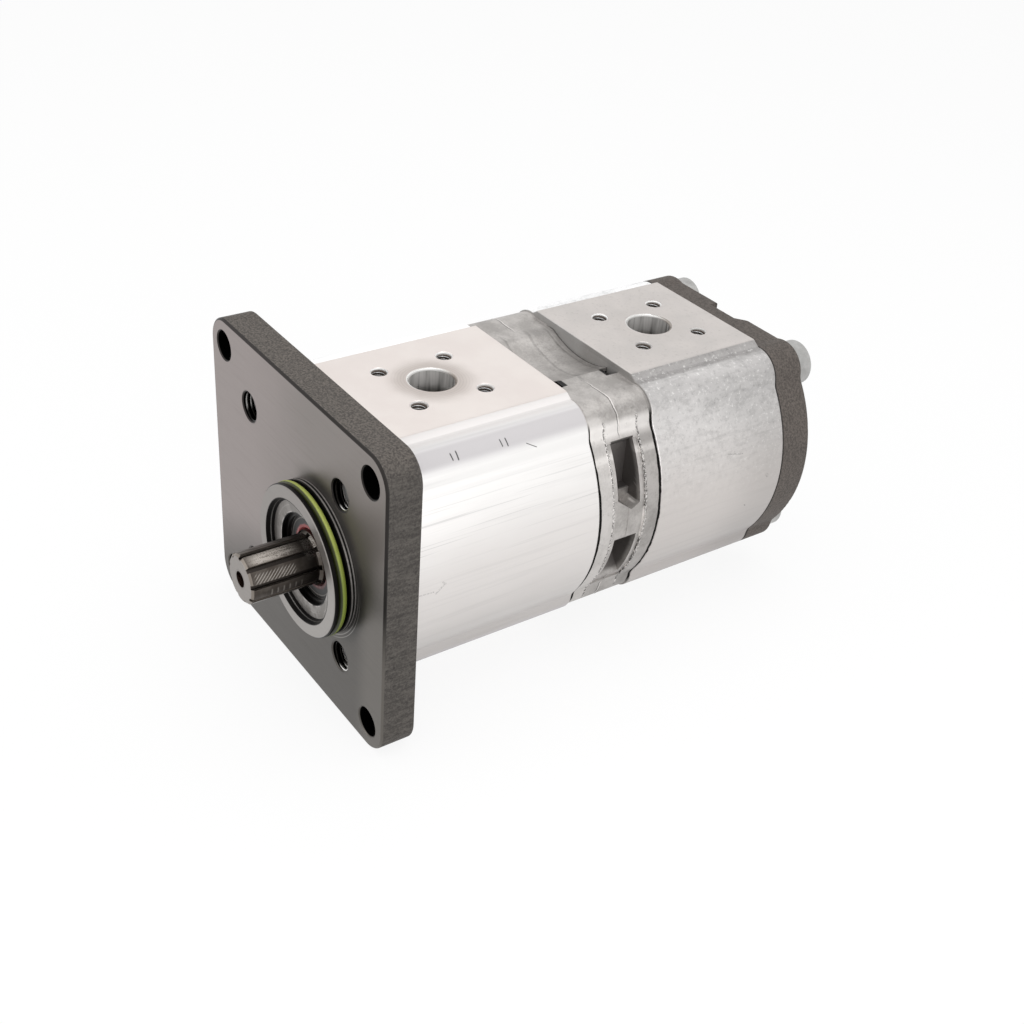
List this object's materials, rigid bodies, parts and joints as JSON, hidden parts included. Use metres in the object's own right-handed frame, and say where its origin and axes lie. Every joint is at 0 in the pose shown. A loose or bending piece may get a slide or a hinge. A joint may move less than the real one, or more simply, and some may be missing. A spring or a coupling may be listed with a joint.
{
  "type": "tandem gear pump",
  "caption": "Flange-mounted tandem external gear pump with a splined shaft, side port pads and a cast centre section.",
  "frame": {"origin": "on the drive shaft's axis, in the mounting face of the flange where the pilot leaves it", "axes": "+Y along the shaft from the drive end to the rear cover, +Z towards the pressure ports, +X across the casing away from the driven gears"},
  "size_m": [0.113, 0.2119, 0.107],
  "materials": {
    "flange_iron": "ground faces, rough cast edges",
    "front_casting": "bright extruded, machined pads",
    "rear_casting": "dull extruded, mottled",
    "center_casting": "as cast",
    "cover_iron": "as cast",
    "gear_steel": "ground",
    "bolt_zinc": "zinc plated",
    "dowel_steel": "ground",
    "spring_steel": "dark phosphate",
    "block_alloy": "machined",
    "bush_bronze": "bored",
    "o_ring_rubber": "smooth",
    "seal_rubber": "smooth"
  },
  "bodies": {
    "housing": {"front_flange": "flange_iron", "pilot_o_ring": "o_ring_rubber", "shaft_seal": "seal_rubber", "seal_garter_spring": "spring_steel", "seal_retaining_ring": "spring_steel", "front_body": "front_casting", "front_body_front_seal": "seal_rubber", "front_body_rear_seal": "seal_rubber", "front_stage_front_block": "block_alloy", "front_stage_front_block_seal": "seal_rubber", "front_stage_front_drive_bush": "bush_bronze", "front_stage_front_driven_bush": "bush_bronze", "front_stage_rear_block": "block_alloy", "front_stage_rear_block_seal": "seal_rubber", "front_stage_rear_drive_bush": "bush_bronze", "front_stage_rear_driven_bush": "bush_bronze", "rear_body": "rear_casting", "rear_body_front_seal": "seal_rubber", "rear_body_rear_seal": "seal_rubber", "rear_stage_front_block": "block_alloy", "rear_stage_front_block_seal": "seal_rubber", "rear_stage_front_drive_bush": "bush_bronze", "rear_stage_front_driven_bush": "bush_bronze", "rear_stage_rear_block": "block_alloy", "rear_stage_rear_block_seal": "seal_rubber", "rear_stage_rear_drive_bush": "bush_bronze", "rear_stage_rear_driven_bush": "bush_bronze", "center_section": "center_casting", "rear_cover": "cover_iron", "through_bolts": "bolt_zinc", "flange_dowels": "dowel_steel", "front_joint_dowels": "dowel_steel", "rear_joint_dowels": "dowel_steel", "cover_dowels": "dowel_steel"},
    "drive": {"front_drive_gear": "gear_steel", "coupling_sleeve": "gear_steel", "rear_drive_gear": "gear_steel"},
    "front_driven": {"front_driven_gear": "gear_steel"},
    "rear_driven": {"rear_driven_gear": "gear_steel"}
  },
  "joints": [
    {"name": "drive_spin", "type": "hinge", "parent": "housing", "child": "drive", "pos_m": [0, 0, 0], "axis": [0, 1, 0], "continuous": true},
    {"name": "front_driven_spin", "type": "hinge", "parent": "housing", "child": "front_driven", "pos_m": [-0.0308, 0, 0], "axis": [0, 1, 0], "continuous": true},
    {"name": "rear_driven_spin", "type": "hinge", "parent": "housing", "child": "rear_driven", "pos_m": [-0.0308, 0, 0], "axis": [0, 1, 0], "continuous": true}
  ],
  "couplings": [
    {"joint": "front_driven_spin", "follows": "drive_spin", "ratio": -1},
    {"joint": "rear_driven_spin", "follows": "drive_spin", "ratio": -1}
  ]
}
